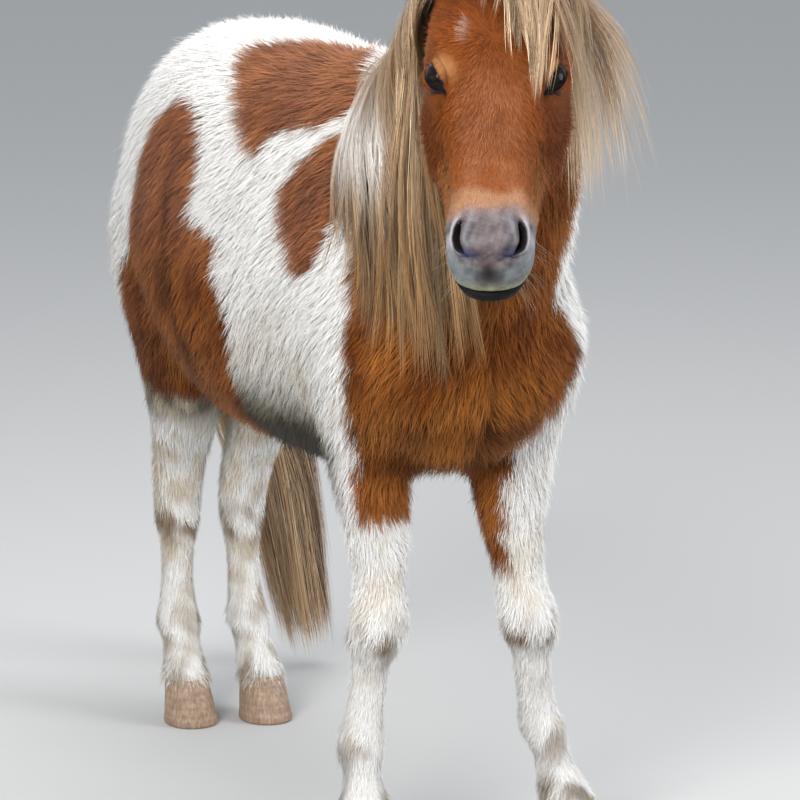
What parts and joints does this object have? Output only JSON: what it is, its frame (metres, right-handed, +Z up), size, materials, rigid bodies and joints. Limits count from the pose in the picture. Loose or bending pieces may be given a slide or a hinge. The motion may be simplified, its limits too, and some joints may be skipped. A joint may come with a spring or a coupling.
{
  "type": "shetland pony",
  "caption": "Life-size still model of a Shetland pony standing square in a thick brown and white coat, its head turned a little to its right, with a long pale mane, forelock and tail.",
  "frame": {"origin": "centre of the model's box on the floor under the belly, z 0 at the soles of the hooves", "axes": "+Z up, the pony faces -Y, its left side is +X"},
  "size_m": [0.4988, 1.5436, 1.1755],
  "materials": {
    "white_coat": "thick, slightly matted winter coat, white with tan mud on the lower legs",
    "chestnut_coat": "thick, soft chestnut coat",
    "flaxen_hair": "long coarse flaxen hair",
    "muzzle_skin": "soft grey skin with a short down",
    "hoof_horn": "dry tan horn with growth rings",
    "eye": "wet, very dark brown"
  },
  "bodies": {
    "root": {"trunk": "white_coat", "neck": "chestnut_coat", "head": "chestnut_coat", "muzzle": "muzzle_skin", "ear_R": "chestnut_coat", "ear_L": "chestnut_coat", "eye_R": "eye", "eye_L": "eye", "forearm_R": "white_coat", "forearm_L": "white_coat", "fore_cannon_R": "white_coat", "fore_cannon_L": "white_coat", "gaskin_R": "white_coat", "gaskin_L": "white_coat", "hind_cannon_R": "white_coat", "hind_cannon_L": "white_coat", "hoof_fore_R": "hoof_horn", "hoof_fore_L": "hoof_horn", "hoof_hind_R": "hoof_horn", "hoof_hind_L": "hoof_horn", "mane_right": "flaxen_hair", "mane_left": "flaxen_hair", "forelock": "flaxen_hair", "tail": "flaxen_hair"}
  },
  "joints": []
}
